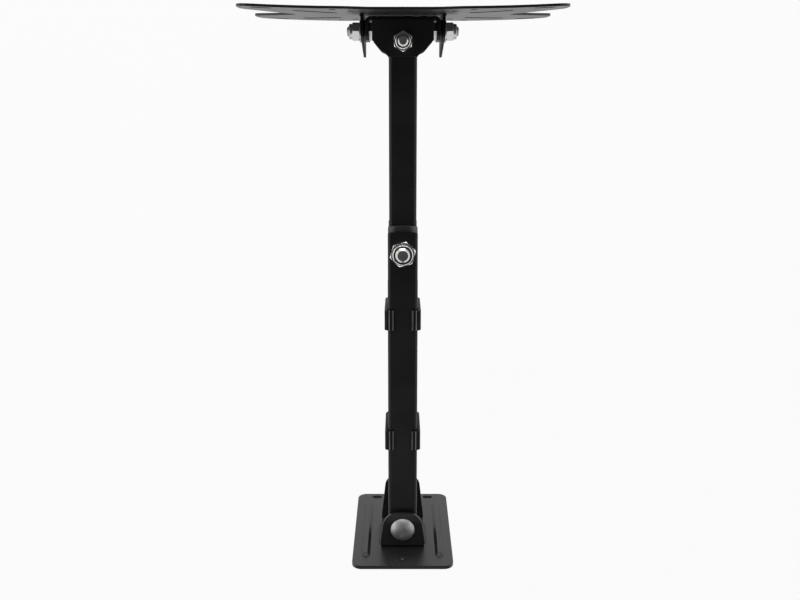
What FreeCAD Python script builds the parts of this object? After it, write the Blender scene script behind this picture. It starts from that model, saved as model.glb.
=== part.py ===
import FreeCAD, Part
import math
import os
import re
import Sketcher

# Swivel television wall mount, in millimetres, +Z up.
# The wall is the plane Y = 0 and the straight arm reaches toward -Y, level with Z = 0.
# "Reach" is the distance from the wall, so a reach of 100 lies at Y = -100.

SIZES = {
    # Pressed plate on the wall
    "plate_width": 84,
    "plate_above": 53.2,
    "plate_below": 76.2,
    "plate_thick": 3,
    "plate_corner": 8,
    "bead_offset": 31,
    "bead_width": 7,
    "bead_above": 38,
    "bead_below": 55,
    "bead_rise": 2.4,
    "bead_slope": 40,
    "bead_corner": 2.8,
    "bead_sheet": 0.6,
    "wall_slot_width": 5,
    "wall_slot_length": 9.5,
    "wall_slot_spacing": 48,
    "wall_slot_drop": 69.5,
    "wall_hole_dia": 5,
    "wall_hole_rise": 40,
    # Folded clevis welded to the plate
    "clevis_width": 37,
    "clevis_thick": 3,
    "clevis_bend": 1,
    "clevis_shoulder": 8,
    "upper_ear": 14.5,
    "upper_ear_width": 30,
    "upper_ear_corner": 12,
    "lower_ear": 27,
    "lower_ear_width": 29,
    "lower_ear_corner": 9,
    "pivot_standoff": 17.2,
    # Long arm with the fork
    "arm_length": 238.1,
    "arm_width": 24.1,
    "arm_height": 40,
    "arm_wall": 2,
    "arm_corner": 3,
    "arm_tail": 6.6,
    "fork_nose": 17,
    "fork_crown": 2,
    "fork_throat": 26,
    # Short arm
    "fore_length": 159.7,
    "fore_width": 21.5,
    "fore_wall": 2,
    "fore_corner": 3,
    "fore_tail": 8.5,
    # Nylon parts between the moving members
    "nylon_thick": 1,
    "slide_gap": 0.1,
    "shaft_gap": 0.05,
    "loose_gap": 0.15,
    "liner_nose": 21.3,
    "liner_crown": 1.2,
    "liner_heel": 18,
    "washer_rim": 9.4,
    # Folded swivel head
    "head_thick": 2.5,
    "head_bend": 1,
    "head_width": 46,
    "head_standoff": 18.2,
    "head_shoulder": 1.1,
    "head_nose": 11,
    "head_nose_width": 21.5,
    "head_step": 6.4,
    "head_step_width": 33.2,
    "head_throat": 8.2,
    "head_throat_width": 25.6,
    "flange_inside": 25.5,
    "flange_height": 34,
    "flange_tail": 0.8,
    "tilt_ahead": 8.1,
    "flange_corner": 5,
    "tilt_gap": 1.8,
    "tilt_washer_thick": 1.6,
    # Plate on the screen
    "small_square": 75,
    "large_square": 100,
    "wide_pattern": 200,
    "vesa_side_margin": 18,
    "vesa_edge_margin": 8,
    "vesa_thick": 1.8,
    "vesa_dish": 2.4,
    "vesa_flat": 68,
    "vesa_tip": 11,
    "notch_depth": 40,
    "notch_mouth": 64,
    "waist_run": 18,
    "waist_drop": 6,
    "screw_dia": 5.5,
    "wide_slot_length": 16,
    "arm_slot_width": 6,
    "lug_thick": 2,
    "lug_above": 18,
    "lug_below": 43,
    "lug_top_depth": 15.5,
    "lug_tail_depth": 29.8,
    # Fasteners
    "small_dia": 8,
    "small_flats": 13,
    "small_head": 5.3,
    "small_nut": 8,
    "small_hex": 5.4,
    "small_collar": 11.4,
    "large_dia": 12,
    "large_flats": 18,
    "large_head": 7.5,
    "large_nut": 12,
    "large_hex": 8.2,
    "large_collar": 16,
    "bolt_proud": 1.6,
    "dome_dia": 20,
    "dome_height": 4.6,
    "dome_rim": 1,
    "steel_washer": 1.2,
    "steel_washer_dia": 16,
    # Snap-on cable clips
    "clip_length": 16.6,
    "clip_wall": 2.45,
    "clip_slack": 0.15,
    "clip_lip": 7.6,
    "clip_lip_thick": 1.8,
    "clip_corner": 3,
    "clip_lip_round": 0.8,
    "clip_channel": 7,
    "clip_channel_width": 17,
    "clip_heel": 1.3,
    "clip_dip": 0.6,
    "clip_dip_at": 4.3,
    "clip_outer_at": 183,
    "clip_inner_at": 79.5,
}

os.makedirs("parts", exist_ok=True)
doc = FreeCAD.newDocument("swivel_tv_wall_mount")
sheet = doc.addObject("Spreadsheet::Sheet", "sizes")
for row, (name, size) in enumerate(SIZES.items(), start=1):
    sheet.set(f"A{row}", name)
    sheet.set(f"B{row}", str(size))
    sheet.setAlias(f"B{row}", name)
doc.recompute()

# Sizes that follow from others
PIVOT = "(plate_thick + pivot_standoff)"
ELBOW = f"({PIVOT} + arm_length)"
HEAD = f"({ELBOW} + fore_length)"
TILT = f"({HEAD} + tilt_ahead)"
SHIM = "(nylon_thick + slide_gap)"
CLEVIS_IN = f"(arm_height/2 + {SHIM})"
CLEVIS_OUT = f"({CLEVIS_IN} + clevis_thick)"
FORK_IN = "(arm_height/2 - arm_wall)"
FORE_TOP = f"({FORK_IN} - {SHIM})"
HEAD_IN = f"({FORE_TOP} + {SHIM})"
HEAD_OUT = f"({HEAD_IN} + head_thick)"
WEB_FRONT = f"({HEAD} + head_standoff)"
WEB_BACK = f"({WEB_FRONT} - head_thick)"
VESA_BACK = f"({WEB_FRONT} + tilt_gap)"
FLANGE_OUT = "(flange_inside + head_thick)"
LUG_IN = f"({FLANGE_OUT} + tilt_washer_thick + slide_gap)"
LUG_OUT = f"({LUG_IN} + lug_thick)"
TILT_WASHER_IN = f"({LUG_OUT} + slide_gap)"
TILT_NUT_IN = f"({TILT_WASHER_IN} + steel_washer)"
VESA_HALF = "(wide_pattern/2 + vesa_side_margin)"
VESA_TOP = "(large_square/2 + vesa_edge_margin)"
VESA_FLAT = "(vesa_flat/2)"
NOTCH_APEX = f"({VESA_HALF} - notch_depth)"
WAIST_OUT = "(large_square/2 - vesa_edge_margin)"
WAIST_IN = f"({WAIST_OUT} - waist_run)"

WORDS = re.compile(r"\b(" + "|".join(SIZES) + r")\b")


def expr(text):
    """Point every size named in an expression at its cell."""
    return WORDS.sub(r"sizes.\1", str(text))


def value(text):
    """Work out an expression of sizes as a number."""
    return float(sheet.evalExpression(expr(text)))


def point(x, y):
    """Give the sketch point at two expressions."""
    return FreeCAD.Vector(value(x), value(y), 0)


def drive(sketch, kind, *where, by):
    """Add one driving dimension to a sketch."""
    number = sketch.addConstraint(Sketcher.Constraint(kind, *where, value(by)))
    sketch.setExpression(f"Constraints[{number}]", expr(by))


def pin(sketch, line, end, x, y):
    """Hold a sketch point at two expressions, measured from the origin."""
    drive(sketch, "DistanceX", -1, 1, line, end, by=x)
    drive(sketch, "DistanceY", -1, 1, line, end, by=y)


def body_named(label):
    """Start a sub-part."""
    body = doc.addObject("PartDesign::Body", label)
    body.Label = label
    return body


def sketch_on(body, role, offset="0"):
    """Start a sketch on an origin plane of the body, moved along the plane's normal."""
    plane = next(item for item in body.Origin.OriginFeatures if item.Role == role)
    sketch = body.newObject("Sketcher::SketchObject", f"{body.Name}_sketch")
    sketch.AttachmentSupport = [(plane, "")]
    sketch.MapMode = "FlatFace"
    sketch.setExpression("AttachmentOffset.Base.z", expr(offset))
    return sketch


def angle(centre, spot):
    """Direction of a point seen from a centre, in radians."""
    return math.atan2(spot.y - centre.y, spot.x - centre.x)


def add_arc(sketch, centre, start, end, left):
    """Draw an arc from start to end and say which of its ends is which."""
    first, last = (start, end) if left else (end, start)
    circle = Part.Circle(centre, FreeCAD.Vector(0, 0, 1), centre.distanceToPoint(start))
    turn_from = angle(centre, first)
    turn_to = angle(centre, last)
    if turn_to <= turn_from:
        turn_to += 2 * math.pi
    line = sketch.addGeometry(Part.ArcOfCircle(circle, turn_from, turn_to))
    return line, (1, 2) if left else (2, 1)


class Curve:
    """A round edge between two plain corners, about a centre held in one direction."""

    def __init__(self, x=None, y=None, at=(0, 0), left=True):
        self.x = x
        self.y = y
        self.at = at
        self.left = left


def polygon(sketch, *steps):
    """Close a line through corners (x, y) or rounded corners (x, y, radius)."""
    corners = [step for step in steps if not isinstance(step, Curve)]
    curves = {}
    for place, step in enumerate(steps):
        if isinstance(step, Curve):
            curves[place - len(curves) - 1] = step
    count = len(corners)
    spots = [point(corner[0], corner[1]) for corner in corners]
    leave = list(spots)
    arrive = list(spots)
    middles = {}
    for i, corner in enumerate(corners):
        if len(corner) == 3:
            radius = value(corner[2])
            back = (spots[i - 1] - spots[i]).normalize()
            ahead = (spots[(i + 1) % count] - spots[i]).normalize()
            half = back.getAngle(ahead) / 2
            run = radius / math.tan(half)
            arrive[i] = spots[i] + back * run
            leave[i] = spots[i] + ahead * run
            middles[i] = spots[i] + (back + ahead).normalize() * (radius / math.sin(half))
    edges = []
    for i in range(count):
        end = arrive[(i + 1) % count]
        if i in curves:
            centre = point(*curves[i].at)
            edges.append(add_arc(sketch, centre, leave[i], end, curves[i].left))
            if curves[i].x is not None:
                drive(sketch, "DistanceX", -1, 1, edges[i][0], 3, by=curves[i].x)
            if curves[i].y is not None:
                drive(sketch, "DistanceY", -1, 1, edges[i][0], 3, by=curves[i].y)
        else:
            edges.append((sketch.addGeometry(Part.LineSegment(leave[i], end)), (1, 2)))
    for i, corner in enumerate(corners):
        before, (_, before_end) = edges[i - 1]
        after, (after_start, _) = edges[i]
        if i in middles:
            spin = (arrive[i] - middles[i]).cross(leave[i] - middles[i]).z > 0
            arc, (arc_start, arc_end) = add_arc(sketch, middles[i], arrive[i], leave[i], spin)
            mark = sketch.addGeometry(Part.Point(spots[i]), True)
            pin(sketch, mark, 1, corner[0], corner[1])
            sketch.addConstraint(Sketcher.Constraint("PointOnObject", mark, 1, before))
            sketch.addConstraint(Sketcher.Constraint("PointOnObject", mark, 1, after))
            sketch.addConstraint(Sketcher.Constraint("Tangent", before, before_end, arc, arc_start))
            sketch.addConstraint(Sketcher.Constraint("Tangent", arc, arc_end, after, after_start))
            drive(sketch, "Radius", arc, by=corner[2])
        else:
            sketch.addConstraint(Sketcher.Constraint("Coincident", before, before_end, after, after_start))
            pin(sketch, after, after_start, corner[0], corner[1])


def box_line(sketch, left, right, low, high, radius=None):
    """Close a rectangle, rounded at its corners when a radius is given."""
    tail = () if radius is None else (radius,)
    polygon(sketch, (left, low, *tail), (right, low, *tail), (right, high, *tail), (left, high, *tail))


def circle(sketch, x, y, radius):
    """Draw a circle."""
    line = sketch.addGeometry(Part.Circle(point(x, y), FreeCAD.Vector(0, 0, 1), value(radius)))
    pin(sketch, line, 3, x, y)
    drive(sketch, "Radius", line, by=radius)


def slot(sketch, x1, y1, x2, y2, radius):
    """Draw a slot round two centres."""
    first = point(x1, y1)
    last = point(x2, y2)
    along = (last - first).normalize()
    side = FreeCAD.Vector(-along.y, along.x, 0) * value(radius)
    cap, _ = add_arc(sketch, last, last - side, last + side, True)
    over = sketch.addGeometry(Part.LineSegment(last + side, first + side))
    heel, _ = add_arc(sketch, first, first + side, first - side, True)
    under = sketch.addGeometry(Part.LineSegment(first - side, last - side))
    ring = (cap, over, heel, under, cap)
    for here, there in zip(ring, ring[1:]):
        sketch.addConstraint(Sketcher.Constraint("Tangent", here, 2, there, 1))
    sketch.addConstraint(Sketcher.Constraint("Equal", cap, heel))
    pin(sketch, cap, 3, x2, y2)
    pin(sketch, heel, 3, x1, y1)
    drive(sketch, "Radius", cap, by=radius)


def pad(body, sketch, length, both=False, taper=None, turned=False):
    """Add material over a sketch."""
    feature = body.newObject("PartDesign::Pad", f"{body.Name}_pad")
    feature.Profile = sketch
    feature.SideType = "Symmetric" if both else "One side"
    feature.Reversed = turned
    feature.setExpression("Length", expr(length))
    if taper is not None:
        feature.setExpression("TaperAngle", expr(taper))
    return feature


def cut(body, sketch, length=None, ahead=False, taper=None):
    """Take material away, right through unless a length is given."""
    feature = body.newObject("PartDesign::Pocket", f"{body.Name}_cut")
    feature.Profile = sketch
    if length is None:
        feature.SideType = "Symmetric"
        feature.Type = "ThroughAll"
    else:
        feature.Reversed = ahead
        feature.setExpression("Length", expr(length))
    if taper is not None:
        feature.setExpression("TaperAngle", expr(taper))
    return feature


def turn(body, sketch):
    """Turn a half profile, drawn as radius and height, about Z."""
    feature = body.newObject("PartDesign::Revolution", f"{body.Name}_turn")
    feature.Profile = sketch
    feature.ReferenceAxis = (sketch, ["V_Axis"])
    feature.Angle = 360
    return feature


def place(item, x="0", y="0", z="0", axis=(0, 0, 1), degrees=0.0, spin=0.0):
    """Set a sub-part where it belongs, spun about its own axis and then turned."""
    own = FreeCAD.Rotation(FreeCAD.Vector(0, 0, 1), spin)
    turned = FreeCAD.Rotation(FreeCAD.Vector(*axis), degrees)
    item.Placement = FreeCAD.Placement(point("0", "0"), turned.multiply(own))
    for letter, text in zip("xyz", (x, y, z)):
        item.setExpression(f"Placement.Base.{letter}", expr(text))
    return item


def group(label, *items):
    """Keep like pieces together as one sub-part."""
    compound = doc.addObject("Part::Compound", label)
    compound.Label = label
    compound.Links = list(items)
    return compound


# Wall plate: pressed sheet with two stiffening beads
wall_plate = body_named("wall_plate")
outline = sketch_on(wall_plate, "XZ_Plane")
box_line(outline, "-plate_width/2", "plate_width/2", "-plate_below", "plate_above", "plate_corner")
pad(wall_plate, outline, "plate_thick")
beads = sketch_on(wall_plate, "XZ_Plane", "plate_thick")
grooves = sketch_on(wall_plate, "XZ_Plane")
for side in ("-", ""):
    at = f"{side}bead_offset"
    half = "bead_width/2"
    box_line(beads, f"{at} - {half}", f"{at} + {half}", "-bead_below", "bead_above", "bead_corner")
    inner = "(bead_width/2 - bead_sheet)"
    box_line(grooves, f"{at} - {inner}", f"{at} + {inner}",
             "-bead_below + bead_sheet", "bead_above - bead_sheet", "bead_corner - bead_sheet")
pad(wall_plate, beads, "bead_rise", taper="-bead_slope")
cut(wall_plate, grooves, "bead_rise", ahead=True, taper="-bead_slope")
screw_holes = sketch_on(wall_plate, "XZ_Plane")
for side in ("-", ""):
    near = f"{side}(wall_slot_spacing - (wall_slot_length - wall_slot_width))/2"
    far = f"{side}(wall_slot_spacing + (wall_slot_length - wall_slot_width))/2"
    slot(screw_holes, near, "-wall_slot_drop", far, "-wall_slot_drop", "wall_slot_width/2")
circle(screw_holes, "0", "wall_hole_rise", "wall_hole_dia/2")
cut(wall_plate, screw_holes)

# Clevis: one folded strip with two rounded ears, the lower one longer
wall_clevis = body_named("wall_clevis")
fold = sketch_on(wall_clevis, "YZ_Plane")
clevis_back = "-plate_thick"
clevis_front = "-(plate_thick + clevis_thick)"
clevis_end = f"-({PIVOT} + lower_ear + 2)"
outer_bend = "clevis_bend + clevis_thick"
polygon(fold,
        (clevis_back, f"-{CLEVIS_OUT}", outer_bend), (clevis_back, CLEVIS_OUT, outer_bend),
        (clevis_end, CLEVIS_OUT), (clevis_end, CLEVIS_IN),
        (clevis_front, CLEVIS_IN, "clevis_bend"), (clevis_front, f"-{CLEVIS_IN}", "clevis_bend"),
        (clevis_end, f"-{CLEVIS_IN}"), (clevis_end, f"-{CLEVIS_OUT}"))
pad(wall_clevis, fold, "clevis_width", both=True)


def trim_ear(ear, ahead):
    """Narrow and round off one ear of the clevis."""
    trim = sketch_on(wall_clevis, "XY_Plane")
    root_half = "clevis_width/2"
    root = "-(plate_thick + clevis_shoulder)"
    tip_half = f"{ear}_width/2"
    tip = f"-({PIVOT} + {ear})"
    corner = f"{ear}_corner"
    clear_out = f"({root_half} + 6)"
    beyond = f"{clevis_end} - 4"
    polygon(trim,
            (root_half, root), (tip_half, tip, corner), (f"-{tip_half}", tip, corner), (f"-{root_half}", root),
            (f"-{clear_out}", root), (f"-{clear_out}", beyond), (clear_out, beyond), (clear_out, root))
    cut(wall_clevis, trim, f"{CLEVIS_OUT} + 1", ahead=ahead)


trim_ear("upper_ear", ahead=True)
trim_ear("lower_ear", ahead=False)
pivot_hole = sketch_on(wall_clevis, "XY_Plane")
circle(pivot_hole, "0", f"-{PIVOT}", "small_dia/2 + loose_gap")
cut(wall_clevis, pivot_hole)
square_hole = sketch_on(wall_clevis, "XY_Plane", CLEVIS_IN)
neck_half = "(small_dia/2 + loose_gap)"
box_line(square_hole, f"-{neck_half}", neck_half, f"-{PIVOT} - {neck_half}", f"-{PIVOT} + {neck_half}")
cut(wall_clevis, square_hole, "clevis_thick", ahead=True)


def ring(label, bore, rim, thick):
    """Make a flat washer that stands on Z = 0."""
    body = body_named(label)
    half = sketch_on(body, "XZ_Plane")
    box_line(half, bore, rim, "0", thick)
    turn(body, half)
    return body


def lock_nut(label, size):
    """Make a hexagon nut with a round collar; its bearing face lies on Z = 0."""
    body = body_named(label)
    flats, hexagon, tall = f"{size}_flats", f"{size}_hex", f"{size}_nut"
    bore = f"({size}_dia/2 + slide_gap)"
    collar = f"{size}_collar/2"
    pocket = f"({size}_collar/2 - 1)"
    corner = f"({flats}*0.57735)"
    bevel = f"({flats}*0.0447)"
    half = sketch_on(body, "XZ_Plane")
    polygon(half,
            (bore, "0"), (f"{flats}/2", "0"), (corner, bevel), (corner, f"{hexagon} - {bevel}"),
            (f"{flats}/2", hexagon), (collar, hexagon), (collar, tall, 0.8), (pocket, tall),
            (pocket, f"{hexagon} + 0.4"), (bore, f"{hexagon} + 0.4"))
    turn(body, half)
    flat_sides(body, flats, "0", hexagon, ahead=True)
    return body


def flat_sides(body, flats, level, length, ahead):
    """Cut six flats on a turned blank."""
    sides = sketch_on(body, "XY_Plane", level)
    circle(sides, "0", "0", f"{flats}*0.57735 + 2")
    wide = f"{flats}*0.57735"
    polygon(sides,
            (wide, "0"), (f"{wide}*0.5", f"{flats}/2"), (f"-{wide}*0.5", f"{flats}/2"),
            (f"-{wide}", "0"), (f"-{wide}*0.5", f"-{flats}/2"), (f"{wide}*0.5", f"-{flats}/2"))
    cut(body, sides, length, ahead=ahead)


def nut_insert(label, size):
    """Make the nylon ring held in the collar of a nut."""
    body = ring(label, f"{size}_dia/2 + slide_gap", f"{size}_collar/2 - 1 - slide_gap",
                f"{size}_nut - {size}_hex - 1")
    return body


def hex_bolt(label, size, length):
    """Make a hexagon bolt; its head bears on Z = 0 from below."""
    body = body_named(label)
    flats, tall = f"{size}_flats", f"{size}_head"
    corner = f"({flats}*0.57735)"
    bevel = f"({flats}*0.0447)"
    shank = f"{size}_dia/2"
    half = sketch_on(body, "XZ_Plane")
    polygon(half,
            ("0", f"-{tall}"), (f"{flats}/2", f"-{tall}"), (corner, f"-{tall} + {bevel}"),
            (corner, "0"), (shank, "0"), (shank, f"{length} - 1"), (f"{shank} - 1", length), ("0", length))
    turn(body, half)
    flat_sides(body, flats, "0", tall, ahead=False)
    return body


# Wall pivot: dome-headed bolt with a square neck, lock nut below
WALL_BOLT = f"(2*{CLEVIS_OUT} + small_nut + bolt_proud)"
wall_bolt = body_named("wall_pivot_bolt")
dome = sketch_on(wall_bolt, "XZ_Plane")
dome_half = "dome_dia/2"
dome_rise = "(dome_height - dome_rim)"
dome_centre = f"dome_rim - (dome_dia^2/4 - {dome_rise}^2)/(2*{dome_rise})"
polygon(dome,
        ("0", f"-{WALL_BOLT}"), ("small_dia/2 - 1", f"-{WALL_BOLT}"), ("small_dia/2", f"-{WALL_BOLT} + 1"),
        ("small_dia/2", "0"), (dome_half, "0"), (dome_half, "dome_rim"),
        Curve(x="0", at=("0", dome_centre)),
        ("0", "dome_height"))
turn(wall_bolt, dome)
neck = sketch_on(wall_bolt, "XY_Plane")
box_line(neck, "-small_dia/2", "small_dia/2", "-small_dia/2", "small_dia/2")
pad(wall_bolt, neck, "clevis_thick", turned=True)
place(wall_bolt, y=f"-{PIVOT}", z=CLEVIS_OUT)
wall_nut = place(lock_nut("wall_pivot_nut", "small"), y=f"-{PIVOT}", z=f"-{CLEVIS_OUT}",
                 axis=(1, 0, 0), degrees=180)
wall_insert = place(nut_insert("wall_nut_insert", "small"), y=f"-{PIVOT}",
                    z=f"-({CLEVIS_OUT} + small_nut - 0.4)")
wall_upper_washer = place(ring("wall_washer_upper", "small_dia/2 + loose_gap", "washer_rim + 1", "nylon_thick"),
                          y=f"-{PIVOT}", z="arm_height/2 + slide_gap")
wall_lower_washer = place(ring("wall_washer_lower", "small_dia/2 + loose_gap", "washer_rim + 1", "nylon_thick"),
                          y=f"-{PIVOT}", z=f"-{CLEVIS_IN}")
wall_washers = group("wall_friction_washers", wall_upper_washer, wall_lower_washer)


def tube_wall(body, width, high, wall, corner, start, length):
    """Add a rounded rectangular tube along the reach."""
    section = sketch_on(body, "XZ_Plane", start)
    box_line(section, f"-{width}/2", f"{width}/2", f"-{high}", high, corner)
    box_line(section, f"-({width}/2 - {wall})", f"{width}/2 - {wall}",
             f"-({high} - {wall})", f"{high} - {wall}", f"{corner} - {wall}")
    pad(body, section, length)


# Long arm: tube cut square at the wall and opened to a fork at the elbow
wall_arm = body_named("wall_arm")
tube_wall(wall_arm, "arm_width", "(arm_height/2)", "arm_wall", "arm_corner",
          f"{PIVOT} - arm_tail", "arm_length + arm_tail + fork_nose + 1")


def crown_centre(half, nose, crown):
    """Give the height of the centre that a shallow crown past the elbow is struck from."""
    return f"(({half}^2 - {crown}^2)/(2*{crown}) - ({ELBOW} + {nose} - {crown}))"


fork_half = "(arm_width/2)"
fork_side = f"-({ELBOW} + fork_nose - fork_crown)"
fork_beyond = f"-({ELBOW} + fork_nose + 4)"
fork_clear = "(arm_width/2 + 1)"
fork_centre = crown_centre(fork_half, "fork_nose", "fork_crown")
fork_trim = sketch_on(wall_arm, "XY_Plane")
polygon(fork_trim,
        (fork_clear, fork_side), (fork_clear, fork_beyond),
        (f"-{fork_clear}", fork_beyond), (f"-{fork_clear}", fork_side), (f"-{fork_half}", fork_side),
        Curve(y=fork_centre, at=("0", fork_centre)),
        (fork_half, fork_side))
cut(wall_arm, fork_trim)
throat = sketch_on(wall_arm, "YZ_Plane")
throat_end = f"-({ELBOW} - fork_throat)"
throat_open = f"-({ELBOW} + fork_nose + 4)"
polygon(throat,
        (throat_end, f"-{FORK_IN}", 5), (throat_end, FORK_IN, 5),
        (throat_open, FORK_IN), (throat_open, f"-{FORK_IN}"))
cut(wall_arm, throat)
arm_holes = sketch_on(wall_arm, "XY_Plane")
circle(arm_holes, "0", f"-{PIVOT}", "small_dia/2 + shaft_gap")
circle(arm_holes, "0", f"-{ELBOW}", "large_dia/2 + loose_gap")
cut(wall_arm, arm_holes)


def liner(label, level):
    """Make one nylon pad for the inside of the fork."""
    body = body_named(label)
    half = "(arm_width/2 - 0.4)"
    plan = sketch_on(body, "XY_Plane", level)
    side = f"-({ELBOW} + liner_nose - liner_crown)"
    heel = f"-({ELBOW} - liner_heel)"
    centre = crown_centre(half, "liner_nose", "liner_crown")
    polygon(plan,
            (f"-{half}", heel, 3), (f"-{half}", side),
            Curve(y=centre, at=("0", centre)),
            (half, side), (half, heel, 3))
    circle(plan, "0", f"-{ELBOW}", "large_dia/2 + loose_gap")
    pad(body, plan, "nylon_thick")
    return body


elbow_liners = group("elbow_liners",
                     liner("liner_upper", f"{FORK_IN} - nylon_thick"), liner("liner_lower", f"-{FORK_IN}"))
elbow_bolt = place(hex_bolt("elbow_bolt", "large", "(arm_height + large_nut + bolt_proud)"),
                   y=f"-{ELBOW}", z="-arm_height/2", degrees=20)
elbow_nut = place(lock_nut("elbow_nut", "large"), y=f"-{ELBOW}", z="arm_height/2", degrees=15)
elbow_insert = place(nut_insert("elbow_nut_insert", "large"), y=f"-{ELBOW}",
                     z="arm_height/2 + large_hex + 0.4")

# Short arm: plain tube cut square just past its two pivots
forearm = body_named("forearm")
tube_wall(forearm, "fore_width", FORE_TOP, "fore_wall", "fore_corner",
          f"{ELBOW} - fore_tail", "fore_length + 2*fore_tail")
fore_holes = sketch_on(forearm, "XY_Plane")
circle(fore_holes, "0", f"-{ELBOW}", "large_dia/2 + shaft_gap")
circle(fore_holes, "0", f"-{HEAD}", "small_dia/2 + shaft_gap")
cut(forearm, fore_holes)

# Swivel head: one folded sheet, two ears on the arm and two flanges for the tilt
head = body_named("head_bracket")
ears = sketch_on(head, "YZ_Plane")
head_round = "head_bend + head_thick"
ear_end = f"-({HEAD} - head_nose - 2)"
polygon(ears,
        (f"-{WEB_FRONT}", f"-{HEAD_OUT}", head_round), (ear_end, f"-{HEAD_OUT}"), (ear_end, f"-{HEAD_IN}"),
        (f"-{WEB_BACK}", f"-{HEAD_IN}", "head_bend"), (f"-{WEB_BACK}", HEAD_IN, "head_bend"),
        (ear_end, HEAD_IN), (ear_end, HEAD_OUT), (f"-{WEB_FRONT}", HEAD_OUT, head_round))
pad(head, ears, "head_width", both=True)
head_trim = sketch_on(head, "XY_Plane")
head_half = "head_width/2"
tip_half = "head_nose_width/2"
head_shoulder = f"-({HEAD} + head_shoulder)"
head_tip = f"-({HEAD} - head_nose)"
head_clear = f"({head_half} + 6)"
step_half = "head_step_width/2"
throat_half = "head_throat_width/2"
step_at = f"-({HEAD} - head_step)"
throat_at = f"-({HEAD} - head_throat)"
polygon(head_trim,
        (head_half, head_shoulder), (step_half, step_at, 6), (throat_half, throat_at, 4), (tip_half, head_tip),
        (f"-{tip_half}", head_tip), (f"-{throat_half}", throat_at, 4), (f"-{step_half}", step_at, 6),
        (f"-{head_half}", head_shoulder), (f"-{head_clear}", head_shoulder),
        (f"-{head_clear}", f"{head_tip} + 6"),
        (head_clear, f"{head_tip} + 6"), (head_clear, head_shoulder))
cut(head, head_trim)
flanges = sketch_on(head, "XY_Plane")
tail = f"-({HEAD} + flange_tail)"
polygon(flanges,
        (f"-{FLANGE_OUT}", f"-{WEB_FRONT}", head_round), (FLANGE_OUT, f"-{WEB_FRONT}", head_round),
        (FLANGE_OUT, tail), ("flange_inside", tail),
        ("flange_inside", f"-{WEB_BACK}", "head_bend"), ("-flange_inside", f"-{WEB_BACK}", "head_bend"),
        ("-flange_inside", tail), (f"-{FLANGE_OUT}", tail))
pad(head, flanges, "flange_height", both=True)
corners = sketch_on(head, "YZ_Plane")
flange_half = "flange_height/2"
for up in ("-", ""):
    inner = f"{up}({flange_half} - flange_corner)"
    polygon(corners,
            (f"{tail} + 1", inner), (tail, inner),
            Curve(x=f"{tail} - flange_corner", at=(f"{tail} - flange_corner", inner), left=up == ""),
            (f"{tail} - flange_corner", f"{up}{flange_half}"),
            (f"{tail} - flange_corner", f"{up}({flange_half} + 0.5)"),
            (f"{tail} + 1", f"{up}({flange_half} + 0.5)"))
cut(head, corners)
head_hole = sketch_on(head, "XY_Plane")
circle(head_hole, "0", f"-{HEAD}", "small_dia/2 + loose_gap")
cut(head, head_hole)
tilt_hole = sketch_on(head, "YZ_Plane")
circle(tilt_hole, f"-{TILT}", "0", "small_dia/2 + loose_gap")
cut(head, tilt_hole)

head_bolt = place(hex_bolt("head_pivot_bolt", "small", f"(2*{HEAD_OUT} + small_nut + bolt_proud)"),
                  y=f"-{HEAD}", z=f"-{HEAD_OUT}")
head_nut = place(lock_nut("head_pivot_nut", "small"), y=f"-{HEAD}", z=HEAD_OUT, degrees=30)
head_insert = place(nut_insert("head_nut_insert", "small"), y=f"-{HEAD}", z=f"{HEAD_OUT} + small_hex + 0.4")
head_washers = group(
    "head_friction_washers",
    place(ring("head_washer_upper", "small_dia/2 + loose_gap", "washer_rim", "nylon_thick"),
          y=f"-{HEAD}", z=f"{HEAD_IN} - nylon_thick"),
    place(ring("head_washer_lower", "small_dia/2 + loose_gap", "washer_rim", "nylon_thick"),
          y=f"-{HEAD}", z=f"-{HEAD_IN}"))

# Tilt pivots: a bolt, a nylon washer, a steel washer and a lock nut on each side
TILT_BOLT = f"({TILT_NUT_IN} + small_nut + bolt_proud - flange_inside)"
tilt_sets = {"bolts": [], "friction_washers": [], "washers": [], "nuts": [], "nut_inserts": []}
for hand, sign, degrees in (("left", "-", -90), ("right", "", 90)):
    across = {"y": f"-{TILT}", "axis": (0, 1, 0), "degrees": degrees, "spin": 0.0}
    tilt_sets["bolts"].append(
        place(hex_bolt(f"tilt_bolt_{hand}", "small", TILT_BOLT), x=f"{sign}flange_inside", **across))
    tilt_sets["friction_washers"].append(
        place(ring(f"tilt_friction_{hand}", "small_dia/2 + loose_gap", "washer_rim - 0.9", "tilt_washer_thick"),
              x=f"{sign}{FLANGE_OUT}", **across))
    tilt_sets["washers"].append(
        place(ring(f"tilt_washer_{hand}", "small_dia/2 + loose_gap", "steel_washer_dia/2", "steel_washer"),
              x=f"{sign}{TILT_WASHER_IN}", **across))
    tilt_sets["nuts"].append(
        place(lock_nut(f"tilt_nut_{hand}", "small"), x=f"{sign}{TILT_NUT_IN}", **across))
    tilt_sets["nut_inserts"].append(
        place(nut_insert(f"tilt_insert_{hand}", "small"),
              x=f"{sign}({TILT_NUT_IN} + small_hex + 0.4)", **across))
tilt_groups = [group(f"tilt_{kind}", *pair) for kind, pair in tilt_sets.items()]

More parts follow.
